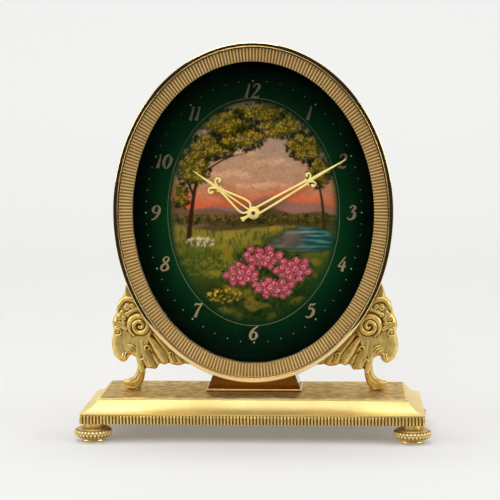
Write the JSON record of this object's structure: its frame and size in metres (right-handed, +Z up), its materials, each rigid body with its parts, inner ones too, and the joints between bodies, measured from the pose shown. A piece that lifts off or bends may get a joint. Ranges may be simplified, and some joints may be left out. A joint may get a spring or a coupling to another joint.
{
  "type": "table clock",
  "caption": "Gilt-brass table clock: oval fluted bezel and enamelled dial, held by ram-head brackets on a stepped base with bun feet, hand-wound lever movement inside.",
  "frame": {"origin": "on the table under the middle of the base", "axes": "+Z up, the dial faces -Y, +X to the right of someone who reads the dial"},
  "size_m": [0.1766, 0.0726, 0.1963],
  "materials": {
    "gilt": "polished gilt brass",
    "matt_gilt": "matt gilt casting",
    "satin_gilt": "satin gilt brass",
    "amber_gilt": "polished, dark amber reflections",
    "brass": "lacquered brass",
    "steel": "polished steel",
    "glass": "clear mineral glass",
    "enamel": "glossy enamel on metal",
    "rubber": "matt black"
  },
  "bodies": {
    "stand": {"base_plinth": "satin_gilt", "fluted_band": "gilt", "base_bottom_plate": "brass", "foot_front_left": "gilt", "foot_front_right": "gilt", "foot_rear_left": "gilt", "foot_rear_right": "gilt", "pedestal_screw_left": "steel", "pedestal_screw_right": "steel", "bracket_screw_left": "steel", "bracket_screw_right": "steel", "pedestal_block": "amber_gilt", "ram_bracket_right": "matt_gilt", "ram_bracket_left": "matt_gilt", "case_body": "gilt", "case_screw_left": "steel", "case_screw_right": "steel", "bezel_rim": "gilt", "bezel_flute_ring": "gilt", "crystal": "glass", "crystal_gasket": "rubber", "sight_ring": "gilt", "dial_plate": "enamel", "rear_cover": "brass", "front_plate": "brass", "back_plate": "brass", "click_spring": "steel", "balance_cock": "brass"},
    "minute_hand_group": {"centre_arbor": "steel", "minute_hand": "gilt", "hand_nut": "gilt", "set_knob": "brass"},
    "minute_wheel_group": {"minute_wheel": "brass"},
    "hour_hand_group": {"hour_wheel": "brass", "hour_hand": "gilt"},
    "fourth_wheel_group": {"fourth_wheel": "brass"},
    "third_wheel_group": {"third_wheel": "brass"},
    "centre_wheel_group": {"centre_wheel": "brass"},
    "barrel_group": {"barrel_drum": "brass", "barrel_lid": "brass", "mainspring": "steel"},
    "escape_wheel_group": {"escape_wheel": "brass"},
    "winding_group": {"barrel_arbor": "steel", "ratchet_wheel": "steel", "winding_key": "brass"},
    "click_group": {"click": "steel"},
    "pallet_group": {"pallet_lever": "steel"},
    "balance_group": {"balance_wheel": "brass", "hairspring": "steel"},
    "regulator_group": {"regulator_lever": "steel"}
  },
  "joints": [
    {"name": "minute_hand_turn", "type": "hinge", "parent": "stand", "child": "minute_hand_group", "pos_m": [0, 0, 0.11145], "axis": [0, 1, 0], "continuous": true},
    {"name": "minute_wheel_turn", "type": "hinge", "parent": "stand", "child": "minute_wheel_group", "pos_m": [-0.00698, 0, 0.11548], "axis": [0, 1, 0], "continuous": true},
    {"name": "hour_hand_turn", "type": "hinge", "parent": "stand", "child": "hour_hand_group", "pos_m": [0, 0, 0.11145], "axis": [0, 1, 0], "continuous": true},
    {"name": "fourth_wheel_turn", "type": "hinge", "parent": "stand", "child": "fourth_wheel_group", "pos_m": [0.01882, 0, 0.12757], "axis": [0, 1, 0], "continuous": true},
    {"name": "third_wheel_turn", "type": "hinge", "parent": "stand", "child": "third_wheel_group", "pos_m": [0.00678, 0, 0.12319], "axis": [0, 1, 0], "continuous": true},
    {"name": "centre_wheel_turn", "type": "hinge", "parent": "stand", "child": "centre_wheel_group", "pos_m": [0, 0, 0.11145], "axis": [0, 1, 0], "continuous": true},
    {"name": "barrel_turn", "type": "hinge", "parent": "stand", "child": "barrel_group", "pos_m": [-0.00366, 0, 0.09071], "axis": [0, 1, 0], "continuous": true},
    {"name": "escape_wheel_turn", "type": "hinge", "parent": "stand", "child": "escape_wheel_group", "pos_m": [0.02425, 0, 0.11817], "axis": [0, 1, 0], "continuous": true},
    {"name": "winding_turn", "type": "hinge", "parent": "stand", "child": "winding_group", "pos_m": [-0.00366, 0, 0.09071], "axis": [0, 1, 0], "continuous": true},
    {"name": "click_swing", "type": "hinge", "parent": "stand", "child": "click_group", "pos_m": [0.0037, 0, 0.09688], "axis": [0, 1, 0], "range_deg": [0, 6], "stiffness_Nm_per_rad": 0.0002},
    {"name": "pallet_swing", "type": "hinge", "parent": "stand", "child": "pallet_group", "pos_m": [0.02557, 0, 0.11069], "axis": [0, 1, 0], "range_deg": [-4, 4]},
    {"name": "balance_swing", "type": "hinge", "parent": "stand", "child": "balance_group", "pos_m": [0.0273, 0, 0.10084], "axis": [0, 1, 0], "range_deg": [-220, 220], "stiffness_Nm_per_rad": 0.00001},
    {"name": "regulator_swing", "type": "hinge", "parent": "stand", "child": "regulator_group", "pos_m": [0.0273, 0, 0.10084], "axis": [0, 1, 0], "range_deg": [-15, 15]}
  ],
  "couplings": [
    {"joint": "minute_wheel_turn", "follows": "minute_hand_turn", "ratio": -0.33333},
    {"joint": "hour_hand_turn", "follows": "minute_hand_turn", "ratio": 0.083333},
    {"joint": "third_wheel_turn", "follows": "fourth_wheel_turn", "ratio": -0.13333},
    {"joint": "centre_wheel_turn", "follows": "fourth_wheel_turn", "ratio": 0.016667},
    {"joint": "barrel_turn", "follows": "fourth_wheel_turn", "ratio": -0.0027778},
    {"joint": "escape_wheel_turn", "follows": "fourth_wheel_turn", "ratio": -8}
  ]
}
